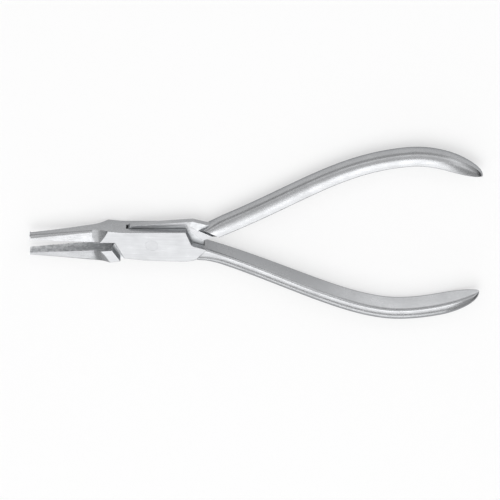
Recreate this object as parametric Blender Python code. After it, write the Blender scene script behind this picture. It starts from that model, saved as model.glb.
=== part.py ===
"""Flat nose pliers with a box joint, modelled in three pieces.

The pliers lie flat, the handles towards +X and the jaws towards -X. The joint turns
about Z. Z is zero on the flat back of the joint, and X and Y are zero on its axis.
"""

from math import acos, atan2, cos, hypot, pi, radians, sin, sqrt, tan

import bmesh
import bpy
from mathutils import Matrix, Vector
from mathutils.geometry import interpolate_bezier

MM = 0.001

# Box joint
BOX_DEPTH = 6.2 * MM
BOX_TOP = 4.5 * MM
BOX_LOW = 5.6 * MM
BOX_END = 9.86 * MM
CROTCH = 11.6 * MM
HEEL = 12.5 * MM
STUB = 3.4 * MM
PLATE_FOOT = (8.1 * MM, 4.5 * MM)
SLOT_DEPTH = 2.1 * MM
SLOT_CLEARANCE = 0.2 * MM
PIN_RADIUS = 1.8 * MM
PIN_CLEARANCE = 0.1 * MM
SLOT_START = 7.4 * MM
SLOT_FOOT = 11.6 * MM
TONGUE_RADIUS = 14.9 * MM
TONGUE_TOP = 6.0 * MM
TURN_CLEARANCE = 0.3 * MM
SHOULDER_GAP = 1.3 * MM
OPEN_AT_REST = radians(6.76)

# Jaws
JAW_REACH = 35.2 * MM
TIP_OVERHANG = 0.2 * MM
LOWER_REACH = JAW_REACH + TIP_OVERHANG
UPPER_PEAK = (12.4 * MM, 4.95 * MM)
LOWER_PEAK = (17.0 * MM, 4.6 * MM)
TIP_HALF_WIDTH = 1.6 * MM
TIP_HEIGHT = 1.2 * MM
JAW_TAPER = radians(3.3)
JAW_LEAN = radians(19.0)
COVE_RADIUS = 8.0 * MM
UPPER_COVE_END = 14.5 * MM
LOWER_COVE_END = 15.2 * MM
COVE_RUN = 2.6 * MM
FACE_LEVEL = 0.8 * MM
FACE_RELIEF = radians(2.6)
TIP_GAP = 0.05 * MM
FACE_END = 10.7 * MM
FACE_SETBACK = 0.3 * MM
EDGE_BREAK = 0.25 * MM

# Diamond cut in the gripping faces
DIAMOND_LENGTH = 0.74 * MM
DIAMOND_WIDTH = 1.34 * MM
DIAMOND_DEPTH = 0.2 * MM
DIAMOND_SKIM = 0.02 * MM
FACE_LAND = 0.2 * MM

# Handles, each as the line of its flat inner face with y growing outwards
HANDLE_REACH = 94.8 * MM
TIP_LEAD = 1.7 * MM
LOWER_HANDLE = {
    "start": (13.0 * MM, 0.7 * MM), "slope": radians(17.5), "leaving": 22.2 * MM,
    "arriving": 15.3 * MM, "crest": (71.4 * MM, 22.5 * MM), "tip": (HANDLE_REACH, 18.2 * MM),
    "end_bend": 1.9 * MM, "neck": 5.1 * MM, "palm": (7.0 * MM, 4.85 * MM),
    "settling": (1.2 * MM, 5.0 * MM),
}
UPPER_HANDLE = {
    "start": (13.2 * MM, -1.85 * MM), "slope": radians(17.6), "leaving": 31.7 * MM,
    "arriving": 20.7 * MM, "crest": (75.6 * MM, 18.25 * MM), "tip": (HANDLE_REACH + TIP_LEAD, 10.8 * MM),
    "end_bend": 3.5 * MM, "neck": 3.6 * MM, "palm": (6.1 * MM, 4.3 * MM),
    "settling": (2.0 * MM, 10.0 * MM),
}
NECK_DEPTH = BOX_DEPTH - 0.2 * MM
GRIP_THICKNESS = 4.5 * MM
EDGE_ROUND = 0.4 * MM
END_LENGTH = 12.5 * MM
END_LEAD = 8.5 * MM
DEEPENING = (4.0 * MM, 36.0 * MM)
THINNING = (26.0 * MM, 62.0 * MM)
ROUNDING = (1.0 * MM, 9.0 * MM)
SQUARE_SECTION = 3.5
ROUND_SECTION = 2.2

# Ramps that run the root of the upper handle down to the tongue
RAMP_TOP = (11.5 * MM, 3.4 * MM)
RAMP_FOOT = (17.6 * MM, -0.75 * MM)
RAMP_RADIUS = 4.5 * MM
RAMP_SLOPE = radians(25.0)
RAMP_SINK = 0.05 * MM

ARC_STEPS = 10
COVE_STEPS = 14
END_STEPS = 10
HANDLE_STATIONS = 44
SECTION_STEPS = 14
PIN_STEPS = 48
BEYOND = 1.0 * MM

STEEL = (0.60, 0.61, 0.62, 1.0)
PIN_STEEL = (0.52, 0.53, 0.55, 1.0)

MIDDLE = BOX_DEPTH / 2


def steel_material(name, colour, roughness):
    """A bare metal surface."""
    material = bpy.data.materials.new(name)
    material.use_nodes = True
    shader = material.node_tree.nodes["Principled BSDF"]
    shader.inputs["Base Color"].default_value = colour
    shader.inputs["Roughness"].default_value = roughness
    shader.inputs["Metallic"].default_value = 1.0
    material.diffuse_color = colour
    return material


def add_object(name, bm):
    """Puts a closed bmesh body into the scene, its faces pointing out."""
    bmesh.ops.recalc_face_normals(bm, faces=bm.faces)
    mesh = bpy.data.meshes.new(name)
    bm.to_mesh(mesh)
    bm.free()
    obj = bpy.data.objects.new(name, mesh)
    bpy.context.scene.collection.objects.link(obj)
    return obj


def combine(target, tool, operation):
    """Joins the tool to the target, or cuts it away, and drops the tool."""
    modifier = target.modifiers.new(operation.title(), "BOOLEAN")
    modifier.operation = operation
    modifier.solver = "EXACT"
    modifier.object = tool
    with bpy.context.temp_override(object=target, active_object=target):
        bpy.ops.object.modifier_apply(modifier=modifier.name)
    bpy.data.objects.remove(tool, do_unlink=True)


def prism(name, outline, low, high):
    """An outline in X and Y, raised from one level of Z to another."""
    bm = bmesh.new()
    face = bm.faces.new([bm.verts.new((x, y, low)) for x, y in outline])
    raised = bmesh.ops.extrude_face_region(bm, geom=[face])["geom"]
    verts = [item for item in raised if isinstance(item, bmesh.types.BMVert)]
    bmesh.ops.translate(bm, verts=verts, vec=(0, 0, high - low))
    return add_object(name, bm)


def arc(radius, start, end, steps=ARC_STEPS):
    """Points of a circle about the joint axis, between two angles."""
    angles = [start + (end - start) * i / steps for i in range(steps + 1)]
    return [(radius * cos(a), radius * sin(a)) for a in angles]


def rounded(corners):
    """An outline whose corners, given as x, y and radius, become arcs."""
    points = []
    for i, (x, y, radius) in enumerate(corners):
        here = Vector((x, y))
        before = (Vector(corners[i - 1][:2]) - here).normalized()
        after = (Vector(corners[(i + 1) % len(corners)][:2]) - here).normalized()
        if radius == 0:
            points.append((x, y))
            continue
        half = acos(max(-1.0, min(1.0, before.dot(after)))) / 2
        centre = here + (before + after).normalized() * radius / sin(half)
        first = here + before * radius / tan(half) - centre
        last = here + after * radius / tan(half) - centre
        start = atan2(first.y, first.x)
        sweep = (atan2(last.y, last.x) - start + pi) % (2 * pi) - pi
        steps = max(2, round(abs(sweep) / radians(12)))
        for k in range(steps + 1):
            angle = start + sweep * k / steps
            points.append((centre.x + radius * cos(angle), centre.y + radius * sin(angle)))
    return points


def smooth(value, start, end):
    """Goes from 0 at start to 1 at end without a corner."""
    share = max(0.0, min(1.0, (value - start) / (end - start)))
    return share * share * (3 - 2 * share)


def pin_body(name, radius, low, high):
    """A round body on the joint axis."""
    bm = bmesh.new()
    bmesh.ops.create_cone(
        bm, cap_ends=True, segments=PIN_STEPS, radius1=radius, radius2=radius,
        depth=high - low, matrix=Matrix.Translation((0, 0, (low + high) / 2)))
    return add_object(name, bm)


class HandleCurve:
    """The line of a handle's flat inner face, with y growing outwards.

    It leaves the joint at the start, is level at the crest and turns in to the tip.
    """

    def __init__(
            self, start, slope, leaving, arriving, crest, tip, end_bend, neck, palm,
            settling):
        self.neck_thickness = neck
        self.settling = settling
        self.palm_depth, self.palm_thickness = palm
        lead = Vector((cos(slope), sin(slope), 0)) * leaving
        first = interpolate_bezier(
            Vector((*start, 0)), Vector((*start, 0)) + lead,
            Vector((*crest, 0)) - Vector((arriving, 0, 0)), Vector((*crest, 0)), 200)
        second = interpolate_bezier(
            Vector((*crest, 0)), Vector((*crest, 0)) + Vector((END_LEAD, 0, 0)),
            Vector((*tip, 0)) + Vector((-END_LEAD, end_bend, 0)), Vector((*tip, 0)), 100)
        self.points = first + second[1:]
        self.lengths = [0.0]
        for one, two in zip(self.points, self.points[1:]):
            self.lengths.append(self.lengths[-1] + (two - one).length)
        self.length = self.lengths[-1]

    def at(self, distance):
        """Position and outward direction at a distance along the face."""
        for i, reached in enumerate(self.lengths[1:]):
            if reached >= distance or i == len(self.lengths) - 2:
                step = self.points[i + 1] - self.points[i]
                share = (distance - self.lengths[i]) / step.length
                direction = step.normalized()
                return self.points[i] + step * share, Vector((-direction.y, direction.x, 0))


def handle_section(half_depth, thickness, fullness):
    """Flat inside, full round outside: pairs of outward distance and Z offset."""
    edge = min(EDGE_ROUND, half_depth * 0.4, thickness * 0.3)
    ring = []
    for k in range(4):
        angle = pi / 2 * k / 3
        ring.append((edge * (1 - sin(angle)), half_depth - edge * (1 - cos(angle))))
    ring += [(out, -z) for out, z in reversed(ring)]
    for k in range(1, SECTION_STEPS):
        angle = pi - pi * k / SECTION_STEPS
        side = -1 if cos(angle) < 0 else 1
        z = side * half_depth * abs(cos(angle)) ** (2 / fullness)
        ring.append((edge + (thickness - edge) * sin(angle) ** (2 / fullness), z))
    return ring


def handle_body(name, curve, side):
    """A handle swept along its curve; side is 1 above the joint and -1 below it."""
    bm = bmesh.new()
    rings = []
    body_length = curve.length - END_LENGTH
    spread = [i / (HANDLE_STATIONS - 1) for i in range(HANDLE_STATIONS)]
    stations = [body_length * share ** 1.35 for share in spread]
    turns = [pi / 2 * k / END_STEPS for k in range(1, END_STEPS + 1)]
    stations += [body_length + END_LENGTH * sin(turn) for turn in turns]
    for distance in stations:
        place, outward = curve.at(distance)
        depth = NECK_DEPTH / 2
        depth += (curve.palm_depth - NECK_DEPTH) / 2 * smooth(distance, *DEEPENING)
        growth = GRIP_THICKNESS - curve.neck_thickness
        thickness = curve.neck_thickness + growth * smooth(distance, *curve.settling)
        thickness += (curve.palm_thickness - GRIP_THICKNESS) * smooth(distance, *THINNING)
        change = ROUND_SECTION - SQUARE_SECTION
        fullness = SQUARE_SECTION + change * smooth(distance, *ROUNDING)
        over = max(0.0, distance - body_length) / END_LENGTH
        taper = max(0.05, sqrt(max(0.0, 1 - over ** 2)))
        ring = []
        for out, z in handle_section(depth * taper, thickness * taper, fullness):
            point = place + outward * out
            ring.append(bm.verts.new((point.x, side * point.y, MIDDLE + z)))
        rings.append(ring)
    for one, two in zip(rings, rings[1:]):
        for i in range(len(one)):
            j = (i + 1) % len(one)
            bm.faces.new((one[i], one[j], two[j], two[i]))
    bm.faces.new(rings[0])
    bm.faces.new(rings[-1])
    return add_object(name, bm)


def cut_jaw_sides(target, tip, cove_end, towards):
    """Grinds both sides of a jaw to their taper and lean, running out in a cove.

    towards is 1 for the jaw above the gripping face and -1 for the one below.
    """
    start_x = -cove_end - COVE_RUN
    start_z = TIP_HALF_WIDTH + (start_x - tip[0]) * tan(JAW_TAPER)
    reach = 8 * MM
    limit = BOX_DEPTH / 2 + reach * tan(JAW_LEAN)
    profile = [(tip[0] - 2 * MM, TIP_HALF_WIDTH - 2 * MM * tan(JAW_TAPER))]
    last = acos(cos(JAW_TAPER) - (limit - start_z) / COVE_RADIUS)
    for k in range(COVE_STEPS + 1):
        angle = JAW_TAPER + (last - JAW_TAPER) * k / COVE_STEPS
        x = start_x + COVE_RADIUS * (sin(angle) - sin(JAW_TAPER))
        z = start_z + COVE_RADIUS * (cos(JAW_TAPER) - cos(angle))
        profile.append((x, z))
    profile.append((profile[-1][0], limit + BEYOND))
    profile.append((profile[0][0], limit + BEYOND))
    for side in (1, -1):
        bm = bmesh.new()
        rings = []
        for rise in (-1.5 * BEYOND, reach):
            y = tip[1] + towards * rise
            shift = rise * tan(JAW_LEAN)
            rings.append([
                bm.verts.new((x, y, MIDDLE + side * (z - shift))) for x, z in profile])
        for i in range(len(profile)):
            j = (i + 1) % len(profile)
            bm.faces.new((rings[0][i], rings[0][j], rings[1][j], rings[1][i]))
        bm.faces.new(rings[0])
        bm.faces.new(rings[1])
        combine(target, add_object("jaw_side", bm), "DIFFERENCE")


def cut_diamonds(target, tip, slope, length, towards):
    """Cuts crossing grooves into a gripping face and leaves pointed diamonds.

    The grooves run along the diagonals of a grid, whose points lie alternately on a
    groove and on a peak.
    """
    count_u = round((length - FACE_LAND) / (DIAMOND_LENGTH / 2))
    step_u = (length - FACE_LAND) / count_u
    step_w = DIAMOND_WIDTH / 2
    count_w = int(BOX_DEPTH / 2 / step_w) + 2
    across = Vector((0, 0, 1))
    along = Vector((cos(slope), sin(slope), 0))
    inward = Vector((-sin(slope), cos(slope), 0)) * towards
    origin = Vector((tip[0], tip[1], MIDDLE)) - along * 2 * step_u
    bm = bmesh.new()
    top = {}
    floor = {}
    for i in range(count_u + 3):
        for j in range(-count_w, count_w + 1):
            height = DIAMOND_DEPTH if (i + j) % 2 == 0 else DIAMOND_SKIM
            flat = origin + along * i * step_u + across * j * step_w
            top[i, j] = bm.verts.new(flat + inward * height)
            if i in (0, count_u + 2) or abs(j) == count_w:
                floor[i, j] = bm.verts.new(flat - inward * BEYOND)
    for i in range(count_u + 2):
        for j in range(-count_w, count_w):
            a, b = top[i, j], top[i + 1, j]
            c, d = top[i + 1, j + 1], top[i, j + 1]
            if (i + j) % 2 == 0:
                bm.faces.new((a, b, c))
                bm.faces.new((a, c, d))
            else:
                bm.faces.new((a, b, d))
                bm.faces.new((b, c, d))
    rim = [(i, -count_w) for i in range(count_u + 2)]
    rim += [(count_u + 2, j) for j in range(-count_w, count_w)]
    rim += [(i, count_w) for i in range(count_u + 2, 0, -1)]
    rim += [(0, j) for j in range(count_w, -count_w, -1)]
    for one, two in zip(rim, rim[1:] + rim[:1]):
        bm.faces.new((top[one], top[two], floor[two], floor[one]))
    bm.faces.new([floor[key] for key in rim])
    combine(target, add_object("diamonds", bm), "DIFFERENCE")


def cut_ramps(target):
    """Grinds the root of the upper handle down to the tongue, in a ramp on each side."""
    floor = SLOT_DEPTH / 2 - SLOT_CLEARANCE - RAMP_SINK
    top = Vector((*RAMP_TOP, 0))
    foot = Vector((*RAMP_FOOT, 0))
    along = (foot - top).normalized()
    forward = Vector((-along.y, along.x, 0))
    height = NECK_DEPTH / 2 - floor + BEYOND
    profile = [(-CROTCH, floor)]
    last = acos(cos(RAMP_SLOPE) - height / RAMP_RADIUS)
    for k in range(ARC_STEPS + 1):
        angle = RAMP_SLOPE + (last - RAMP_SLOPE) * k / ARC_STEPS
        run = RAMP_RADIUS * (sin(angle) - sin(RAMP_SLOPE))
        profile.append((run, floor + RAMP_RADIUS * (cos(RAMP_SLOPE) - cos(angle))))
    profile.append((-CROTCH, floor + height))
    for side in (1, -1):
        bm = bmesh.new()
        rings = []
        for end in (top - along * BOX_DEPTH, foot + along * BOX_DEPTH):
            ring = []
            for run, z in profile:
                point = end + forward * run
                ring.append(bm.verts.new((point.x, point.y, MIDDLE + side * z)))
            rings.append(ring)
        for i in range(len(profile)):
            j = (i + 1) % len(profile)
            bm.faces.new((rings[0][i], rings[0][j], rings[1][j], rings[1][i]))
        bm.faces.new(rings[0])
        bm.faces.new(rings[1])
        combine(target, add_object("ramp", bm), "DIFFERENCE")


def shoulder_points():
    """The slanted edge of the box beside the lower jaw, top and bottom end."""
    return Vector((-FACE_END, FACE_LEVEL)), Vector((-PLATE_FOOT[0], -PLATE_FOOT[1]))


def lower_handle_line(x):
    """Height of the lower handle's inner face, carried on straight into the joint."""
    start_x, start_y = LOWER_HANDLE["start"]
    return -start_y - (x - start_x) * tan(LOWER_HANDLE["slope"])


def box_outline():
    """Upper jaw, joint box and the stub that runs into the lower handle."""
    top, bottom = shoulder_points()
    stub = HEEL + STUB
    return rounded([
        (-JAW_REACH, FACE_LEVEL, 0),
        (top.x, top.y, 0),
        (bottom.x, bottom.y, 0.4 * MM),
        (-2.0 * MM, -BOX_LOW + 0.3 * MM, 12 * MM),
        (9.6 * MM, -BOX_LOW - 0.15 * MM, 5 * MM),
        (HEEL, -BOX_LOW + 0.33 * MM, 1.0 * MM),
        (stub, lower_handle_line(stub), 0),
        (CROTCH, lower_handle_line(CROTCH), 1.5 * MM),
        (BOX_END, BOX_TOP, EDGE_BREAK),
        (-8.6 * MM, BOX_TOP, 4 * MM),
        (-UPPER_PEAK[0], UPPER_PEAK[1], 3 * MM),
        (-JAW_REACH, FACE_LEVEL + TIP_HEIGHT, EDGE_BREAK),
    ])


def slot_end_x(y):
    """The slanted end of the slot behind the upper jaw."""
    return -SLOT_FOOT + (SLOT_FOOT - SLOT_START) * y / BOX_TOP


def slot_outline():
    """The passage for the tongue: a slanted end, and an arc about the joint axis."""
    handle_end = TONGUE_RADIUS + TURN_CLEARANCE
    above = 2 * BOX_TOP
    below = BOX_LOW + 3 * BEYOND
    outline = [(slot_end_x(above), above), (slot_end_x(-BEYOND), -BEYOND)]
    outline += [(slot_end_x(-BEYOND), -below), (BOX_END + BEYOND, -below)]
    outline += arc(handle_end, radians(-38), radians(14))
    outline += [(handle_end, above)]
    return outline


def box_half(material):
    """Upper jaw, joint box and lower handle in one forging."""
    half = prism("box_half", box_outline(), 0, BOX_DEPTH)
    tip = (-JAW_REACH, FACE_LEVEL)
    cut_jaw_sides(half, tip, UPPER_COVE_END, 1)
    handle = handle_body("lower_handle", HandleCurve(**LOWER_HANDLE), -1)
    combine(half, handle, "UNION")
    slot_low = MIDDLE - SLOT_DEPTH / 2
    combine(half, prism("slot", slot_outline(), slot_low, slot_low + SLOT_DEPTH), "DIFFERENCE")
    bore = pin_body("pin_bore", PIN_RADIUS + PIN_CLEARANCE, -BEYOND, BOX_DEPTH + BEYOND)
    combine(half, bore, "DIFFERENCE")
    cut_diamonds(half, tip, 0, JAW_REACH - FACE_END, 1)
    half.data.materials.clear()
    half.data.materials.append(material)
    return half


def closed_face_level(x):
    """Height of the lower gripping face above X while the jaws are closed."""
    return FACE_LEVEL - TIP_GAP - (x + JAW_REACH) * tan(FACE_RELIEF)


def lower_shoulder():
    """The lower jaw's edge beside the box: its ends at the gripping face and below."""
    top, bottom = shoulder_points()
    edge = (bottom - top).normalized()
    start = top + Vector((edge.y, -edge.x)) * SHOULDER_GAP
    level = closed_face_level(-FACE_END - SHOULDER_GAP)
    upper = start + edge * ((level - start.y) / edge.y)
    lower = start + edge * ((-BOX_TOP - start.y) / edge.y)
    return upper, lower


def lower_jaw_outline():
    """The lower jaw with its shoulder, drawn with the jaws closed."""
    upper, lower = lower_shoulder()
    tip = closed_face_level(-LOWER_REACH)
    return rounded([
        (-LOWER_REACH, tip, 0),
        (-LOWER_REACH, tip - TIP_HEIGHT, EDGE_BREAK),
        (-LOWER_PEAK[0], -LOWER_PEAK[1], 6 * MM),
        (lower.x, lower.y, 0.3 * MM),
        (upper.x, upper.y, 0),
    ])


def tongue_outline():
    """The flat tongue through the slot, drawn with the jaws closed."""
    low_y = -BOX_LOW + 0.2 * MM
    slant = TURN_CLEARANCE * hypot(SLOT_FOOT - SLOT_START, BOX_TOP) / BOX_TOP
    face = closed_face_level(-SLOT_FOOT) - FACE_SETBACK
    root_x = -SLOT_FOOT - 2.4 * MM
    outline = [
        (slot_end_x(TONGUE_TOP) + slant, TONGUE_TOP),
        (slot_end_x(face) + slant, face),
        (root_x, face - BEYOND),
        (root_x, -BOX_TOP + 0.5 * MM),
        (lower_shoulder()[1].x, -BOX_TOP - 0.1 * MM),
        (-PLATE_FOOT[0] - 0.3 * MM, -PLATE_FOOT[1] - 0.45 * MM),
        (-1.0 * MM, low_y),
    ]
    foot = atan2(low_y, sqrt(TONGUE_RADIUS ** 2 - low_y ** 2))
    outline += arc(TONGUE_RADIUS, foot, radians(-5.5))
    outline += rounded([
        (17.5 * MM, -0.65 * MM, 0),
        (19.0 * MM, 1.0 * MM, 0),
        (20.5 * MM, 2.8 * MM, 0),
        (18.5 * MM, 3.3 * MM, 0),
        (16.2 * MM, 3.75 * MM, 2.5 * MM),
        (12.6 * MM, 5.3 * MM, 0.8 * MM),
        (11.0 * MM, 5.37 * MM, 0),
    ])
    return outline


def tongue_half(material):
    """Lower jaw, tongue and upper handle in one forging."""
    half = prism("tongue_half", lower_jaw_outline(), 0, BOX_DEPTH)
    tip = (-LOWER_REACH, closed_face_level(-LOWER_REACH))
    cut_jaw_sides(half, tip, LOWER_COVE_END, -1)
    tongue_low = MIDDLE - SLOT_DEPTH / 2 + SLOT_CLEARANCE
    tongue_depth = SLOT_DEPTH - 2 * SLOT_CLEARANCE
    tongue = prism("tongue", tongue_outline(), tongue_low, tongue_low + tongue_depth)
    combine(half, tongue, "UNION")
    handle = handle_body("upper_handle", HandleCurve(**UPPER_HANDLE), 1)
    cut_ramps(handle)
    combine(half, handle, "UNION")
    bore = pin_body("pin_bore", PIN_RADIUS + PIN_CLEARANCE, -BEYOND, BOX_DEPTH + BEYOND)
    combine(half, bore, "DIFFERENCE")
    face_length = (LOWER_REACH + lower_shoulder()[0].x) / cos(FACE_RELIEF)
    cut_diamonds(half, tip, -FACE_RELIEF, face_length, -1)
    half.data.materials.clear()
    half.data.materials.append(material)
    half.rotation_euler.z = OPEN_AT_REST
    return half


def joint_pin(material):
    """The rivet through the box and the tongue, ground flush on both sides."""
    pin = pin_body("joint_pin", PIN_RADIUS, 0, BOX_DEPTH)
    pin.data.materials.append(material)
    return pin


def shade(obj):
    """Smooth shading on the round surfaces, sharp on the edges between them."""
    obj.data.shade_smooth()
    obj.data.set_sharp_from_angle(angle=radians(25))


def main():
    for obj in list(bpy.data.objects):
        bpy.data.objects.remove(obj, do_unlink=True)
    steel = steel_material("satin_steel", STEEL, 0.32)
    pin_steel = steel_material("pin_steel", PIN_STEEL, 0.3)
    for obj in (box_half(steel), tongue_half(steel), joint_pin(pin_steel)):
        shade(obj)


main()
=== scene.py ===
"""Flat nose pliers of satin stainless steel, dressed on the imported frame.

Sizes of the pieces are in millimetres and become metres when a piece is finished.
The joint turns about Z, the handles lie towards +X and the jaws towards -X.
"""

import logging
from collections.abc import Sequence
from dataclasses import dataclass, field
from enum import Enum
from math import acos, atan2, cos, hypot, pi, radians, sin, sqrt, tan

import bmesh
import bpy
from mathutils import Matrix, Vector
from mathutils.geometry import interpolate_bezier

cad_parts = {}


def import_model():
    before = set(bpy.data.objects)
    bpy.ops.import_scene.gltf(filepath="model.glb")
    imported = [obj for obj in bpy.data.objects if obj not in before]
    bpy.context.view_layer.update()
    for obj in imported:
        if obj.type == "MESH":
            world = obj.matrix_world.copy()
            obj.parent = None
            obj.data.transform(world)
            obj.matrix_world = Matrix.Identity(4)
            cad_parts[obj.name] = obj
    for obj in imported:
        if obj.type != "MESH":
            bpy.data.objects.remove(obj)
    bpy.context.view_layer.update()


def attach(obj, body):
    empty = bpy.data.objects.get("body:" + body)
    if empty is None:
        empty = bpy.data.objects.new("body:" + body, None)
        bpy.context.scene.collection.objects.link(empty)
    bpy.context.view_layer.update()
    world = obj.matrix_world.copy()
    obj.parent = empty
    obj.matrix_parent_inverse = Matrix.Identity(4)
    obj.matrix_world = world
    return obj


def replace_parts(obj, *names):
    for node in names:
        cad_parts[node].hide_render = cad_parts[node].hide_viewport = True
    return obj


MM = 0.001
# How far a cutting tool reaches past the piece that it cuts, in millimetres
OVERRUN = 1.0
# A rounding that would take up a whole side is kept just short of it
SNUG = 0.999
# How close a face has to lie to a plane to be on it, in millimetres
ON_PLANE = 0.02
# How close two points are in height to be level, and a point to a cut to be on it
SAME_LEVEL, ON_CUT = 1e-6, 1e-5
# How far about one facet of a rounded corner turns, and the facets across a rim's rounding
# and round a rod
FACET_TURN = radians(7)
RIM_FACETS, ROD_FACETS = 5, 96
# The least part of a normal that points the way named, for a face that lies level, is the
# inner face of a handle, the back or side of a jaw, or a slope of the diamonds
LEVEL, INNER, BACK, SIDE, SLOPE = 0.98, 0.8, 0.9, 0.6, 0.3
# What the sum of two noise textures mostly stays between
NOISE_LOW, NOISE_HIGH = 0.65, 1.35
# Pointiness at the bottom of a cut groove and on the tip of a diamond
GROOVE_POINT, TIP_POINT = 0.45, 0.55
# A patch's random value that is dullest and brightest in the painted glint, and what the
# dullest keeps
PATCH_DULL, PATCH_BRIGHT, PATCH_LEAST = 0.3, 0.7, 0.1
# Steel loses light at grazing angles, which draws the thin grey rims of the forging
GRAZING_TINT = "B8BABC"

log = logging.getLogger("pliers")


def linear(code: str) -> tuple[float, float, float, float]:
    """Turns an sRGB hex colour to the linear values that a shader takes.

    Args:
        code: Six hex digits.

    Returns:
        Red, green, blue and an alpha of 1.
    """
    values = []
    for start in (0, 2, 4):
        share = int(code[start:start + 2], 16) / 255
        values.append(share / 12.92 if share <= 0.04045 else ((share + 0.055) / 1.055) ** 2.4)
    return values[0], values[1], values[2], 1.0


def add_node(
    tree: bpy.types.NodeTree, kind: str, settings: dict[str, object] | None = None,
    sockets: dict[str | int, object] | None = None,
) -> bpy.types.Node:
    """Adds a node with its settings, and fills or links its inputs.

    Args:
        tree: The node tree that gets the node.
        kind: The node's type name.
        settings: Properties of the node by name.
        sockets: Input values, or output sockets to link, by input name or number.

    Returns:
        The new node.
    """
    node = tree.nodes.new(kind)
    for name, value in (settings or {}).items():
        setattr(node, name, value)
    for name, value in (sockets or {}).items():
        if isinstance(value, bpy.types.NodeSocket):
            tree.links.new(value, node.inputs[name])
        else:
            node.inputs[name].default_value = value
    return node


def new_material(
    name: str,
) -> tuple[bpy.types.Material, bpy.types.NodeTree, bpy.types.Node]:
    """Starts a node material.

    Args:
        name: Name of the material.

    Returns:
        The material, its node tree and its shader node.
    """
    material = bpy.data.materials.new(name)
    material.use_nodes = True
    tree = material.node_tree
    return material, tree, tree.nodes["Principled BSDF"]


def per_metre(size: float) -> float:
    """Texture scale at which a pattern repeats about once in a size in millimetres."""
    return 1 / (size * MM)


def smooth(value: float, start: float, end: float) -> float:
    """Goes from 0 at start to 1 at end without a corner."""
    share = max(0.0, min(1.0, (value - start) / (end - start)))
    return share * share * (3 - 2 * share)


class Body(Enum):
    """The two bodies of the frame that pieces ride on."""

    BOX = "box_body"
    TONGUE = "tongue_body"


class Cut(Enum):
    """What a boolean tool does to the piece."""

    REMOVE = "DIFFERENCE"
    JOIN = "UNION"


class Finish(Enum):
    """The finishes of a forging, in the order of its material slots."""

    FORGING = 0
    FLAT = 1
    DIAMOND = 2
    RECESS = 3
    BELT = 4


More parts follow.
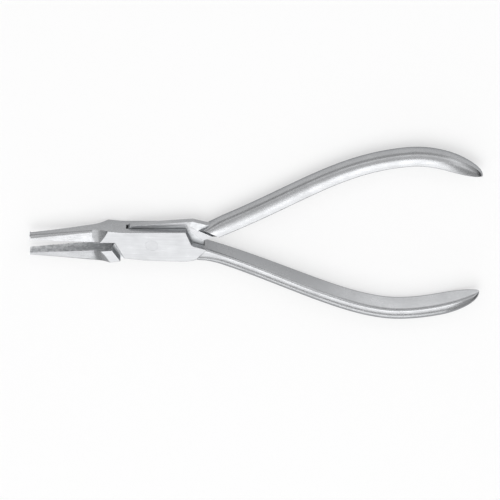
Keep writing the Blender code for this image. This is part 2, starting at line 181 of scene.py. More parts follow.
@dataclass(frozen=True)
class Steel:
    """Stainless steel with one kind of surface.

    Attributes:
        name: Name of the material.
        bright: Colour of the clean metal, as sRGB hex.
        dull: Colour where the polish is cloudier, as sRGB hex.
        roughness: Middle value of the roughness.
        spread: How far the roughness goes up and down from the middle.
        cloud: Size of the cloudy patches of the polish, in millimetres.
        grit: Width of the finest scratches that the render can show, in millimetres.
        stroke: Length of those scratches along X, in millimetres.
        bump: Depth of the relief under the scratches, in millimetres.
        groove: Colour of the painted shade at the bottom of cut grooves, as sRGB hex, or none.
        facet: Size of the patches between grooves that differ in painted glint, in
            millimetres.
        neck: Colour of the painted shade near the joint, as sRGB hex, or none.
        palm: Where along X the painted shade begins to fade and has faded, in millimetres.
    """

    name: str
    bright: str
    dull: str
    roughness: float
    spread: float
    cloud: float
    grit: float
    stroke: float
    bump: float = 0.002
    groove: str = ""
    facet: float = 0.75
    neck: str = ""
    palm: tuple[float, float] = (40.0, 68.0)

    def material(self) -> bpy.types.Material:
        """Builds the node material.

        Returns:
            The material, with its colour, roughness and relief from noise.
        """
        material, tree, shader = new_material(self.name)
        shader.inputs["Metallic"].default_value = 1.0
        shader.inputs["Specular Tint"].default_value = linear(GRAZING_TINT)
        place = add_node(tree, "ShaderNodeTexCoord").outputs["Object"]
        stretched = add_node(
            tree, "ShaderNodeMapping", {},
            {"Vector": place, "Scale": (self.grit / self.stroke, 1, 1)}).outputs[0]
        clouds = add_node(
            tree, "ShaderNodeTexNoise", {},
            {"Vector": place, "Scale": per_metre(self.cloud), "Detail": 4.0,
             "Roughness": 0.55}).outputs[0]
        scratches = add_node(
            tree, "ShaderNodeTexNoise", {},
            {"Vector": stretched, "Scale": per_metre(self.grit), "Detail": 3.0,
             "Roughness": 0.6}).outputs[0]
        both = add_node(
            tree, "ShaderNodeMath", {"operation": "ADD"}, {0: clouds, 1: scratches}).outputs[0]
        colour = add_node(
            tree, "ShaderNodeValToRGB", {}, {"Fac": add_node(
                tree, "ShaderNodeMapRange", {},
                {"Value": both, "From Min": NOISE_LOW, "From Max": NOISE_HIGH}).outputs[0]})
        colour.color_ramp.elements[0].color = linear(self.dull)
        colour.color_ramp.elements[1].color = linear(self.bright)
        roughness = add_node(
            tree, "ShaderNodeMapRange", {},
            {"Value": both, "From Min": NOISE_LOW, "From Max": NOISE_HIGH,
             "To Min": self.roughness + self.spread,
             "To Max": self.roughness - self.spread}).outputs[0]
        relief = add_node(
            tree, "ShaderNodeBump", {},
            {"Height": scratches, "Distance": self.bump * MM, "Strength": 1.0}).outputs[0]
        tone = colour.outputs[0]
        # Painted shade in the grooves, and a painted glint that differs patch by patch
        if self.groove:
            tone = self.paint_groove_shade(tree, place, tone)
        # Painted shade near the joint, where the two handles close in on each other
        if self.neck:
            tone = self.paint_joint_shade(tree, place, tone)
        tree.links.new(tone, shader.inputs["Base Color"])
        tree.links.new(roughness, shader.inputs["Roughness"])
        tree.links.new(relief, shader.inputs["Normal"])
        return material

    def paint_groove_shade(
        self, tree: bpy.types.NodeTree, place: bpy.types.NodeSocket,
        tone: bpy.types.NodeSocket,
    ) -> bpy.types.NodeSocket:
        """Paints shade into the bottoms of cut grooves, and a painted glint on the diamonds,
        patch by patch.

        Args:
            tree: The material's node tree.
            place: The place on the piece.
            tone: The colour of the clean metal.

        Returns:
            The colour with the painted shade and glint in it.
        """
        point = add_node(tree, "ShaderNodeNewGeometry").outputs["Pointiness"]
        rise = add_node(
            tree, "ShaderNodeMapRange", {},
            {"Value": point, "From Min": GROOVE_POINT, "From Max": TIP_POINT}).outputs[0]
        patch = add_node(
            tree, "ShaderNodeTexVoronoi", {},
            {"Vector": place, "Scale": per_metre(self.facet)}).outputs["Color"]
        glint = add_node(
            tree, "ShaderNodeMapRange", {},
            {"Value": patch, "From Min": PATCH_DULL, "From Max": PATCH_BRIGHT,
             "To Min": PATCH_LEAST}).outputs[0]
        share = add_node(
            tree, "ShaderNodeMath", {"operation": "MULTIPLY"},
            {0: rise, 1: glint}).outputs[0]
        return add_node(
            tree, "ShaderNodeMix", {"data_type": "RGBA"},
            {0: share, 6: linear(self.groove), 7: tone}).outputs[2]

    def paint_joint_shade(
        self, tree: bpy.types.NodeTree, place: bpy.types.NodeSocket,
        tone: bpy.types.NodeSocket,
    ) -> bpy.types.NodeSocket:
        """Paints shade near the joint in the neck's colour and fades it out towards the palm.

        Args:
            tree: The material's node tree.
            place: The place on the piece.
            tone: The colour of the clean metal.

        Returns:
            The colour with the painted shade near the joint.
        """
        along = add_node(tree, "ShaderNodeSeparateXYZ", {}, {0: place}).outputs["X"]
        share = add_node(
            tree, "ShaderNodeMapRange", {"interpolation_type": "SMOOTHSTEP"},
            {"Value": along, "From Min": self.palm[0] * MM,
             "From Max": self.palm[1] * MM}).outputs[0]
        return add_node(
            tree, "ShaderNodeMix", {"data_type": "RGBA"},
            {0: share, 6: linear(self.neck), 7: tone}).outputs[2]


# Forged stainless steel, satin polished by hand on a soft wheel: even grey, soft clouds
SATIN_FORGING = Steel(
    "satin_polished_steel", "B6B7B9", "A8A9AB", 0.27, 0.04, 5.0, 0.35, 3.0)
# The flat joint faces come off a surface grinder: whiter, with short straight strokes
GROUND_FLAT = Steel(
    "surface_ground_steel", "B7B8BA", "AAABAD", 0.3, 0.04, 6.0, 0.3, 5.0, bump=0.001)
# The flat inner faces of the handles are drawn along a belt: long fine lines. Their pale
# colour is painted light, and near the joint the neck colour is painted shade
BELT_PAINTED_LIGHT_AND_SHADE = Steel(
    "belt_painted_light_and_shade_steel", "DCDDDF", "C6C7C9", 0.3, 0.05, 7.0, 0.3, 14.0, neck="AFB0B2")
# Inside the joint the steel stays as milled and matt; its pale colour is painted light, so the
# slot's shade isn't a black line
MILLED_RECESS_PAINTED_LIGHT = Steel(
    "milled_recess_painted_light_steel", "DCDEE0", "C8CACC", 0.45, 0.06, 1.5, 0.25, 1.0, bump=0.004)
# Diamond-cut faces keep the cutter's matt surface; their pale colour is painted light against
# the upper jaw's shade, the grooves get painted shade, and the diamonds a painted glint, patch
# by patch
DIAMOND_CUT_PAINTED_SHADE_AND_GLINT = Steel(
    "diamond_cut_painted_shade_and_glint_steel", "F8F8F9", "ECEDEE", 0.62, 0.06, 1.2, 0.25, 0.25, bump=0.004,
    groove="BCBEC0")
# The pin is turned from harder bar and shows a shade darker where it is ground flush
PIN_BAR = Steel(
    "turned_pin_steel", "B4B5B7", "A7A8AA", 0.3, 0.04, 6.0, 0.2, 1.5, bump=0.001)


@dataclass(frozen=True)
class Corner:
    """A corner of a flat outline and the radius it is rounded to."""

    x: float
    y: float
    radius: float = 0.0


@dataclass(frozen=True)
class Joint:
    """Sizes of the box joint that its three pieces share.

    Attributes:
        top: How far the plates go up from the axis.
        low: How far they go down from it.
        end: Where their upper edge ends, behind the axis.
        crotch: Where the inner face of the lower handle starts.
        heel: Where the plates' lower edge ends.
        stub: How far the box runs on from there into the lower handle.
        plate_foot: The plates' front lower corner, in front of and below the axis.
        slot_start: How far in front of the axis the slot ends at the upper edge.
        slot_foot: How far in front of the axis it ends level with the axis.
        turn_clearance: Gap between the outlines of tongue and slot.
        shoulder_gap: Gap between the plates and the lower jaw's shoulder, jaws closed.
    """

    depth: float = 6.2
    top: float = 4.5
    low: float = 5.6
    end: float = 9.86
    crotch: float = 11.6
    heel: float = 12.5
    stub: float = 3.4
    plate_foot: tuple[float, float] = (8.1, 4.5)
    slot_depth: float = 2.1
    slot_clearance: float = 0.2
    slot_start: float = 7.4
    slot_foot: float = 11.6
    tongue_radius: float = 14.9
    tongue_top: float = 6.0
    turn_clearance: float = 0.3
    shoulder_gap: float = 1.3
    pin_radius: float = 1.8
    open_at_rest: float = radians(6.76)

    @property
    def middle(self) -> float:
        """Height of the middle plane."""
        return self.depth / 2

    @property
    def tongue_half_depth(self) -> float:
        """Half the thickness of the tongue."""
        return self.slot_depth / 2 - self.slot_clearance

    def slot_end(self, y: float) -> float:
        """The slanted end of the slot at a height of Y."""
        return -self.slot_foot + (self.slot_foot - self.slot_start) * y / self.top


@dataclass(frozen=True)
class Jaw:
    """Sizes of one jaw.

    Attributes:
        reach: How far the tip is in front of the axis.
        peak: The corner of the jaw's back, in front of the axis and off it.
        cove_end: Where the cove behind the ground side ends, in front of the axis.
        rise: 1 for a jaw above its gripping face and -1 for one below it.
        taper: How the ground side spreads towards the joint.
        lean: How the ground side spreads away from the gripping face.
        crown: Radius over which the back is rounded to the sides.
    """

    reach: float
    peak: tuple[float, float]
    cove_end: float
    rise: int
    slope: float = 0.0
    face_level: float = 0.8
    face_end: float = 10.7
    tip_height: float = 1.2
    tip_half_width: float = 1.6
    taper: float = radians(3.3)
    lean: float = radians(19.0)
    cove_radius: float = 8.0
    cove_run: float = 2.6
    edge: float = 0.25
    crown: float = 0.85
    crown_steps: int = 8


@dataclass(frozen=True)
class Diamonds:
    """The crossing grooves of a gripping face.

    Attributes:
        land: Plain strip behind the last diamonds.
        lead: How far the grooves start before the jaw's tip.
        spare: Cells of the pattern past what the face needs.
    """

    length: float = 0.74
    width: float = 1.34
    depth: float = 0.2
    skim: float = 0.02
    land: float = 0.2
    lead: float = 1.5
    spare: int = 8


@dataclass(frozen=True)
class Handle:
    """One handle, by the line of its flat inner face with y growing outwards.

    Attributes:
        leaving: Reach of the control point behind the start.
        arriving: Reach of the control point before the crest.
        crest: Where the line is farthest out.
        end_lead: Reach of the control points between the crest and the tip.
        end_bend: Height of the last one above the tip.
        neck, grip, palm_thickness: Thickness at the start, behind it and in the palm.
        neck_depth, palm_depth: Size across the broad side at the start and in the palm.
        side: 1 for the upper handle and -1 for the lower one.
        edge: Radius of the edges beside the inner face.
        edge_limits: The most that it may be, as a share of half depth and thickness.
        deepening: Where along the line the depth starts and stops to change.
        settling: Where the thickness goes from neck to grip.
        thinning: Where it goes from grip to palm.
        rounding: Where the curve of the back goes from square to round.
        square, round: Exponents of that curve, where 2 is an ellipse.
        least: Share of the section that is left at the tip.
        line_points: Number of points on the curves before and after the crest.
        crowding: How much closer the sections are at the joint than in the palm.
    """

    start: tuple[float, float]
    slope: float
    leaving: float
    arriving: float
    crest: tuple[float, float]
    tip: tuple[float, float]
    end_bend: float
    neck: float
    palm_depth: float
    palm_thickness: float
    side: int
    neck_depth: float = 6.0
    grip: float = 4.5
    edge: float = 0.4
    edge_limits: tuple[float, float] = (0.4, 0.3)
    end_length: float = 12.5
    end_lead: float = 8.5
    deepening: tuple[float, float] = (4.0, 36.0)
    settling: tuple[float, float] = (2.0, 10.0)
    thinning: tuple[float, float] = (26.0, 62.0)
    rounding: tuple[float, float] = (1.0, 9.0)
    square: float = 3.5
    round: float = 2.2
    least: float = 0.05
    line_points: tuple[int, int] = (300, 160)
    stations: int = 80
    crowding: float = 1.35
    end_stations: int = 18
    back_steps: int = 30
    edge_steps: int = 8

    def line(self) -> list[Vector]:
        """The inner face's line, from the joint to the tip.

        Returns:
            Points along the line.
        """
        start, crest, tip = (Vector((*p, 0)) for p in (self.start, self.crest, self.tip))
        lead = Vector((cos(self.slope), sin(self.slope), 0)) * self.leaving
        first = interpolate_bezier(
            start, start + lead, crest - Vector((self.arriving, 0, 0)), crest,
            self.line_points[0])
        second = interpolate_bezier(
            crest, crest + Vector((self.end_lead, 0, 0)),
            tip + Vector((-self.end_lead, self.end_bend, 0)), tip, self.line_points[1])
        return first + second[1:]

    def section(
        self, half_depth: float, thickness: float, fullness: float,
    ) -> list[tuple[float, float]]:
        """The outline across the handle: flat inside and full round outside.

        Args:
            half_depth: Half the size across the handle's broad side.
            thickness: Size from the inner face to the back.
            fullness: Exponent of the back's curve, 2 for an ellipse.

        Returns:
            Pairs of outward distance and Z offset.
        """
        edge = min(
            self.edge, half_depth * self.edge_limits[0], thickness * self.edge_limits[1])
        ring = []
        for k in range(self.edge_steps):
            angle = pi / 2 * k / (self.edge_steps - 1)
            ring.append((edge * (1 - sin(angle)), half_depth - edge * (1 - cos(angle))))
        ring += [(out, -z) for out, z in reversed(ring)]
        for k in range(1, self.back_steps):
            angle = pi - pi * k / self.back_steps
            z = half_depth * abs(cos(angle)) ** (2 / fullness) * (1 if cos(angle) > 0 else -1)
            ring.append((edge + (thickness - edge) * sin(angle) ** (2 / fullness), z))
        return ring

    def places(self) -> list[tuple[float, Vector, Vector]]:
        """Stations along the handle, closer together towards both ends.

        Returns:
            Distance along the inner face, place on it and outward direction.
        """
        points = self.line()
        lengths = [0.0]
        for one, two in zip(points, points[1:]):
            lengths.append(lengths[-1] + (two - one).length)
        body = lengths[-1] - self.end_length
        last = self.stations - 1
        wanted = [body * (k / last) ** self.crowding for k in range(self.stations)]
        # Even steps round a quarter circle crowd the sections at the rounded tip
        turns = [pi / 2 * k / self.end_stations for k in range(1, self.end_stations + 1)]
        wanted += [body + self.end_length * sin(turn) for turn in turns]
        found = []
        i = 0
        for distance in wanted:
            while i < len(points) - 2 and lengths[i + 1] < distance:
                i += 1
            step = points[i + 1] - points[i]
            share = (distance - lengths[i]) / step.length
            direction = step.normalized()
            outward = Vector((-direction.y, direction.x, 0))
            found.append((distance, points[i] + step * share, outward))
        return found

    def build(self, name: str, middle: float) -> bpy.types.Object:
        """Sweeps the section along the line by extruding its end face again and again.

        Args:
            name: Name of the new object.
            middle: Height of the handle's middle plane.

        Returns:
            The handle as a closed body.
        """
        places = self.places()
        body = places[-1][0] - self.end_length
        bm = bmesh.new()
        count = len(self.section(1, 1, 2))
        bmesh.ops.create_circle(bm, cap_ends=True, segments=count, radius=1)
        # The points round the section are numbered once, and extruded rings keep the numbers
        turn = bm.verts.layers.int.new("turn")
        cap = bm.faces[:][0]
        for k, vert in enumerate(cap.verts):
            vert[turn] = k
        for number, (distance, place, outward) in enumerate(places):
            if number:
                # The face that an extrusion leaves inside the body is dropped
                inner = [cap] if number > 1 else []
                made = bmesh.ops.extrude_face_region(bm, geom=[cap])["geom"]
                cap = next(item for item in made if isinstance(item, bmesh.types.BMFace))
                bmesh.ops.delete(bm, geom=inner, context="FACES_ONLY")
            depth = self.neck_depth + (
                self.palm_depth - self.neck_depth) * smooth(distance, *self.deepening)
            thickness = self.neck + (self.grip - self.neck) * smooth(distance, *self.settling)
            thickness += (self.palm_thickness - self.grip) * smooth(distance, *self.thinning)
            fullness = self.square + (
                self.round - self.square) * smooth(distance, *self.rounding)
            over = max(0.0, distance - body) / self.end_length
            taper = max(self.least, sqrt(max(0.0, 1 - over ** 2)))
            ring = self.section(depth / 2 * taper, thickness * taper, fullness)
            for vert in cap.verts:
                out, z = ring[vert[turn]]
                point = place + outward * out
                vert.co = (point.x, self.side * point.y, middle + z)
        return solid(name, bm)


def solid(name: str, bm: bmesh.types.BMesh) -> bpy.types.Object:
    """Puts a closed body into the scene with its faces pointing out.

    Args:
        name: Name of the new object.
        bm: The body, which is freed.

    Returns:
        The new object.
    """
    bmesh.ops.recalc_face_normals(bm, faces=bm.faces)
    mesh = bpy.data.meshes.new(name)
    bm.to_mesh(mesh)
    bm.free()
    obj = bpy.data.objects.new(name, mesh)
    bpy.context.scene.collection.objects.link(obj)
    return obj


def raise_faces(
    bm: bmesh.types.BMesh, faces: list[bmesh.types.BMFace], way: Vector,
) -> None:
    """Extrudes faces and moves the new end.

    Args:
        bm: The mesh that is changed.
        faces: The faces at the start.
        way: Which way and how far the end goes.
    """
    made = bmesh.ops.extrude_face_region(bm, geom=faces)["geom"]
    raised = [item for item in made if isinstance(item, bmesh.types.BMVert)]
    bmesh.ops.translate(bm, verts=raised, vec=way)


def break_rims(bm: bmesh.types.BMesh, radius: float, steps: int) -> None:
    """Rounds the edges that lie level, which are the two rims of a body.

    Args:
        bm: The mesh that is changed.
        radius: Radius of the rounding.
        steps: Number of its facets.
    """
    level = [e for e in bm.edges if abs(e.verts[0].co.z - e.verts[1].co.z) < SAME_LEVEL]
    bmesh.ops.bevel(
        bm, geom=level, offset=radius, affect="EDGES", segments=steps, profile=0.5,
        material=-1)


def apply_modifier(
    obj: bpy.types.Object, kind: str, settings: dict[str, object],
) -> None:
    """Adds a modifier with its settings and applies it.

    Args:
        obj: The object that is changed.
        kind: The modifier's type.
        settings: Properties of the modifier by name.
    """
    modifier = obj.modifiers.new(kind.title(), kind)
    for name, value in settings.items():
        setattr(modifier, name, value)
    with bpy.context.temp_override(object=obj, active_object=obj):
        bpy.ops.object.modifier_apply(modifier=modifier.name)


def combine(target: bpy.types.Object, tool: bpy.types.Object, cut: Cut) -> None:
    """Joins the tool to the target or cuts it away, and drops the tool.

    Args:
        target: The piece that is changed.
        tool: The body that is joined or cut away.
        cut: Which of the two.
    """
    apply_modifier(
        target, "BOOLEAN", {"operation": cut.value, "solver": "EXACT", "object": tool})
    bpy.data.objects.remove(tool, do_unlink=True)


def flat_outline(bm: bmesh.types.BMesh, corners: Sequence[Corner]) -> bmesh.types.BMFace:
    """Makes a face from a few corners and rounds each one by its own radius.

    Args:
        bm: The mesh that gets the face.
        corners: The outline in order.

    Returns:
        The rounded face, in the XY plane.
    """
    verts = [bm.verts.new((corner.x, corner.y, 0)) for corner in corners]
    bm.faces.new(verts)
    offsets = []
    for i, corner in enumerate(corners):
        here = verts[i].co
        before = (verts[i - 1].co - here).normalized()
        after = (verts[(i + 1) % len(verts)].co - here).normalized()
        half = acos(max(-1.0, min(1.0, before.dot(after)))) / 2
        offsets.append((corner.radius / tan(half), pi - 2 * half))
    for vert, (offset, sweep) in zip(verts, offsets):
        if offset > 0:
            bmesh.ops.bevel(
                bm, geom=[vert], offset=offset, affect="VERTICES", profile=0.5,
                segments=max(2, round(sweep / FACET_TURN)), material=-1)
    return bm.faces[:][0]


def prism(
    name: str, corners: Sequence[Corner], low: float, high: float, rim: float = 0.0,
) -> bpy.types.Object:
    """Raises an outline to a body and breaks its two rims.

    Args:
        name: Name of the new object.
        corners: The outline in order.
        low: Height of the lower face.
        high: Height of the upper face.
        rim: Radius of the rounding along both rims.

    Returns:
        The new body.
    """
    bm = bmesh.new()
    face = flat_outline(bm, corners)
    bmesh.ops.translate(bm, verts=bm.verts, vec=(0, 0, low))
    raise_faces(bm, [face], Vector((0, 0, high - low)))
    if rim:
        break_rims(bm, rim, RIM_FACETS)
    return solid(name, bm)


def rod(radius: float, low: float, high: float) -> bmesh.types.BMesh:
    """A round bar on the joint axis.

    Args:
        radius: Its radius.
        low: Height of its lower end.
        high: Height of its upper end.

    Returns:
        The mesh.
    """
    bm = bmesh.new()
    bmesh.ops.create_cone(
        bm, cap_ends=True, segments=ROD_FACETS, radius1=radius, radius2=radius,
        depth=high - low, matrix=Matrix.Translation((0, 0, (low + high) / 2)))
    return bm


def arc(radius: float, start: float, end: float, steps: int = 24) -> list[Corner]:
    """Corners along a circle about the joint axis.

    Args:
        radius: Radius of the circle.
        start: First angle.
        end: Last angle.
        steps: Number of parts.

    Returns:
        The corners in order.
    """
    angles = [start + (end - start) * k / steps for k in range(steps + 1)]
    return [Corner(radius * cos(a), radius * sin(a)) for a in angles]


@dataclass
class Forging:
    """What the two halves have in common: a jaw, its cut face and its finish.

    Attributes:
        pad_half_depth: Half the thickness of the polished strip on the tongue.
        grind: From where to where the sides are ground, off the gripping face.
        face_slack: How far off its line a face may lie to be part of the gripping face.
        face_margin: Where that part ends, in front of the gripping face's end.
        sharp: Least angle between two faces whose edge stays sharp in the shading.
        flat_weight: How strongly large faces keep their shading flat beside roundings.
    """

    joint: Joint
    jaw: Jaw
    handle: Handle
    diamonds: Diamonds = field(default_factory=Diamonds)
    pad_half_depth: float = 0.89
    grind: tuple[float, float] = (-1.5, 8.0)
    face_slack: float = 0.06
    face_margin: float = 0.5
    sharp: float = radians(21)
    flat_weight: int = 60

    def grind_jaw_sides(self, target: bpy.types.Object) -> None:
        """Grinds both sides of the jaw to their taper and lean, ending in a cove.

        Args:
            target: The piece with the jaw.
        """
        jaw = self.jaw
        low, high = self.grind
        # Seen along Y, the ground side runs straight from the tip and turns out in a cove,
        # an arc that starts along it and ends at the limit
        start_x = -jaw.cove_end - jaw.cove_run
        start_z = jaw.tip_half_width + (start_x + jaw.reach) * tan(jaw.taper)
        limit = self.joint.middle + high * tan(jaw.lean)
        last = acos(cos(jaw.taper) - (limit - start_z) / jaw.cove_radius)
        tangent = jaw.cove_radius * tan((last - jaw.taper) / 2)
        root = Vector((start_x, start_z)) + Vector((cos(jaw.taper), sin(jaw.taper))) * tangent
        end = root + Vector((cos(last), sin(last))) * tangent
        past_tip = 2 * OVERRUN
        outer_x = -jaw.reach - past_tip
        profile = [
            Corner(outer_x, jaw.tip_half_width - past_tip * tan(jaw.taper)),
            Corner(root.x, root.y, jaw.cove_radius * SNUG),
            Corner(end.x, end.y),
            Corner(end.x, limit + OVERRUN),
            Corner(outer_x, limit + OVERRUN),
        ]
        for side in (1, -1):
            bm = bmesh.new()
            face = flat_outline(bm, profile)
            for vert in bm.verts:
                vert.co = (vert.co.x, 0, side * vert.co.y)
            # Raised on a slant, the same outline gives the side its lean
            shift = Vector((0, jaw.rise, -side * tan(jaw.lean)))
            start = Vector((0, jaw.face_level, self.joint.middle)) + shift * low
            bmesh.ops.translate(bm, verts=bm.verts, vec=start)
            raise_faces(bm, [face], shift * (high - low))
            combine(target, solid("jaw_side", bm), Cut.REMOVE)

    def bore(self, target: bpy.types.Object, play: float) -> None:
        """Bores the hole for the pin.

        Args:
            target: The piece.
            play: Gap around the pin.
        """
        joint = self.joint
        tool = rod(joint.pin_radius + play, -OVERRUN, joint.depth + OVERRUN)
        combine(target, solid("bore", tool), Cut.REMOVE)

    def cut_diamonds(self, target: bpy.types.Object, length: float) -> None:
        """Cuts crossing grooves that leave pointed diamonds on the gripping face.

        Args:
            target: The piece with the jaw.
            length: Length of the gripping face.
        """
        cut = self.diamonds
        # Half diamonds are stretched a little, so that a whole number of them fits the face
        count = round((length - cut.land) / (cut.length / 2))
        run = (length - cut.land) / count
        cross = cut.width / 2
        wide = self.joint.depth / 2 + cut.width
        cells = count + 2 * int(wide / cross) + cut.spare
        bm = bmesh.new()
        bmesh.ops.create_grid(bm, x_segments=cells, y_segments=cells, size=cells / 2)
        # The lines of the grid come to cross on a slant, as the bottoms of the grooves
        for vert in bm.verts:
            i, j = vert.co.x, vert.co.y
            vert.co = ((i + j) * run, (i - j) * cross, -cut.depth)
        middle = (length - cut.land) / 2
        centre = round(middle / run) * run
        bmesh.ops.translate(bm, verts=bm.verts, vec=(centre, 0, 0))
        # A point in the middle of each cell stands up as the tip of a diamond
        for peak in bmesh.ops.poke(bm, faces=bm.faces)["verts"]:
            peak.co.z = -cut.skim
        # What lies over the face is kept, and becomes a body that reaches past the face
        for place, direction in (
                ((-cut.lead, 0, 0), (-1, 0, 0)), ((length - cut.land, 0, 0), (1, 0, 0)),
                ((0, -wide, 0), (0, -1, 0)), ((0, wide, 0), (0, 1, 0))):
            geometry = bm.verts[:] + bm.edges[:] + bm.faces[:]
            bmesh.ops.bisect_plane(
                bm, geom=geometry, plane_co=place, plane_no=direction, clear_outer=True,
                dist=ON_CUT)
        made = bmesh.ops.extrude_face_region(bm, geom=bm.faces[:])["geom"]
        for item in made:
            if isinstance(item, bmesh.types.BMVert):
                item.co.z = OVERRUN
        across = Vector((0, 0, 1))
        along = Vector((cos(self.jaw.slope), sin(self.jaw.slope), 0))
        inward = Vector((-along.y, along.x, 0)) * self.jaw.rise
        place = Matrix.Translation((-self.jaw.reach, self.jaw.face_level, self.joint.middle))
        axes = Matrix((along, across, -inward)).transposed().to_4x4()
        bmesh.ops.transform(bm, matrix=place @ axes, verts=bm.verts)
        combine(target, solid("diamonds", bm), Cut.REMOVE)

    def crown_jaw(self, target: bpy.types.Object) -> None:
        """Rounds the back of the jaw over to its sides, from the tip to the cove.

        Args:
            target: The piece with the jaw.
        """
        jaw = self.jaw
        bm = bmesh.new()
        bm.from_mesh(target.data)
        # Only the edges between the back and the ground sides are rounded over
        weight = bm.edges.layers.float.new("bevel_weight_edge")
        for edge in bm.edges:
            normals = [face.normal for face in edge.link_faces]
            back = max(normal.y * jaw.rise for normal in normals)
            side = max(abs(normal.z) for normal in normals)
            middle = (edge.verts[0].co.x + edge.verts[1].co.x) / 2
            if back > BACK and side > SIDE and middle < -jaw.cove_end - jaw.cove_run:
                edge[weight] = 1
        bm.to_mesh(target.data)
        bm.free()
        apply_modifier(target, "BEVEL", {
            "width": jaw.crown, "segments": jaw.crown_steps, "limit_method": "WEIGHT",
            "use_clamp_overlap": False})

    def finish(
        self, target: bpy.types.Object, steels: dict[Finish, bpy.types.Material],
        turn: float,
    ) -> None:
        """Gives each face its steel, brings the piece to metres and to its rest place.

        Args:
            target: The piece.
            steels: The materials by their finish.
            turn: How far the piece is turned about the joint.
        """
        mesh = target.data
        mesh.materials.clear()
        for finish in Finish:
            mesh.materials.append(steels[finish])
        for face in mesh.polygons:
            face.material_index = self.finish_of(face.center, face.normal).value
        mesh.transform(Matrix.Rotation(turn, 4, "Z") @ Matrix.Scale(MM, 4))
        mesh.shade_smooth()
        mesh.set_sharp_from_angle(angle=self.sharp)
        apply_modifier(
            target, "WEIGHTED_NORMAL", {"keep_sharp": True, "weight": self.flat_weight})

    def finish_of(self, centre: Vector, normal: Vector) -> Finish:
        """Chooses a face's finish by where it lies and the way it faces.

        Args:
            centre: The face's centre, in millimetres.
            normal: The way it faces.

        Returns:
            The finish.
        """
        jaw, joint = self.jaw, self.joint
        off_line = abs(centre.y - self.face_line(centre.x))
        before_end = centre.x < -jaw.face_end - self.face_margin
        gripping = -normal.y * jaw.rise > SLOPE
        if before_end and gripping and off_line < self.diamonds.depth + self.face_slack:
            return Finish.DIAMOND
        off_middle = abs(centre.z - joint.middle)
        handle_x = joint.heel + joint.stub
        if abs(normal.z) > LEVEL and centre.x < handle_x:
            if abs(off_middle - joint.middle) < ON_PLANE:
                return Finish.FLAT
            # Off the pad, faces in the slot get the recess steel, whose pale colour is painted
            # light
            if off_middle < joint.slot_depth / 2 + ON_PLANE:
                on_pad = abs(off_middle - self.pad_half_depth) < ON_PLANE / 2
                return Finish.FLAT if on_pad else Finish.RECESS
        inward = -normal.y * self.handle.side
        # The handles' inner faces get the belt steel, with its painted light and painted shade
        if centre.x > handle_x and inward > INNER and abs(normal.z) < 1 - LEVEL:
            return Finish.BELT
        return Finish.FORGING

    def face_line(self, x: float) -> float:
        """Height of the gripping face above X, in the piece's own drawing."""
        return self.jaw.face_level + (x + self.jaw.reach) * tan(self.jaw.slope)


@dataclass
class BoxHalf(Forging):
    """Upper jaw, joint box and lower handle.

    Attributes:
        belly: A corner of the lower edge: X, height above its line and radius.
        back: The same, farther back.
        heel: The same at the heel, without its X.
        brow: The corner where the upper edge turns to the jaw: X and radius.
        slot_reach: How far the slot's outline goes below the lower edge.
        slot_arc: Where the round of the slot starts and ends.
        pin_play: Gap around the pin.
    """

    rim: float = 0.22
    foot_radius: float = 0.4
    belly: tuple[float, float, float] = (-2.0, 0.3, 12.0)
    back: tuple[float, float, float] = (9.6, -0.15, 5.0)
    heel: tuple[float, float] = (0.33, 1.0)
    brow: tuple[float, float] = (-8.6, 4.0)
    peak_radius: float = 3.0
    crotch_radius: float = 1.5
    slot_reach: float = 3.0
    slot_arc: tuple[float, float] = (radians(-38), radians(14))
    pin_play: float = 0.01

    def outline(self) -> list[Corner]:
        """Upper jaw, plate and the stub that runs into the lower handle."""
        joint, jaw, handle = self.joint, self.jaw, self.handle
        stub = joint.heel + joint.stub

        def handle_line(x: float) -> float:
            """The handle's inner face, carried on straight into the joint."""
            return -handle.start[1] - (x - handle.start[0]) * tan(handle.slope)

        return [
            Corner(-jaw.reach, jaw.face_level),
            Corner(-jaw.face_end, jaw.face_level),
            Corner(-joint.plate_foot[0], -joint.plate_foot[1], self.foot_radius),
            Corner(self.belly[0], -joint.low + self.belly[1], self.belly[2]),
            Corner(self.back[0], -joint.low + self.back[1], self.back[2]),
            Corner(joint.heel, -joint.low + self.heel[0], self.heel[1]),
            Corner(stub, handle_line(stub)),
            Corner(joint.crotch, handle_line(joint.crotch), self.crotch_radius),
            Corner(joint.end, joint.top, jaw.edge),
            Corner(self.brow[0], joint.top, self.brow[1]),
            Corner(-jaw.peak[0], jaw.peak[1], self.peak_radius),
            Corner(-jaw.reach, jaw.face_level + jaw.tip_height, jaw.edge),
        ]

    def slot(self) -> list[Corner]:
        """The passage for the tongue: a slanted end, and an arc about the axis."""
        joint = self.joint
        radius = joint.tongue_radius + joint.turn_clearance
        above, below = 2 * joint.top, joint.low + self.slot_reach
        end = joint.slot_end(-OVERRUN)
        return [
            Corner(joint.slot_end(above), above),
            Corner(end, -OVERRUN),
            Corner(end, -below),
            Corner(joint.end + OVERRUN, -below),
            *arc(radius, *self.slot_arc),
            Corner(radius, above),
        ]

    def build(self, steels: dict[Finish, bpy.types.Material]) -> bpy.types.Object:
        """Builds the half as one piece.

        Args:
            steels: The materials by their finish.

        Returns:
            The finished piece, which stands for the frame's solid.
        """
        joint, jaw = self.joint, self.jaw
        half = prism("box_forging", self.outline(), 0, joint.depth, self.rim)
        self.grind_jaw_sides(half)
        self.crown_jaw(half)
        combine(half, self.handle.build("lower_handle", joint.middle), Cut.JOIN)
        low = joint.middle - joint.slot_depth / 2
        combine(half, prism("slot", self.slot(), low, low + joint.slot_depth), Cut.REMOVE)
        self.bore(half, self.pin_play)
        self.cut_diamonds(half, jaw.reach - jaw.face_end)
        self.finish(half, steels, 0)
        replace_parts(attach(half, Body.BOX.value), "box_half")
        return half


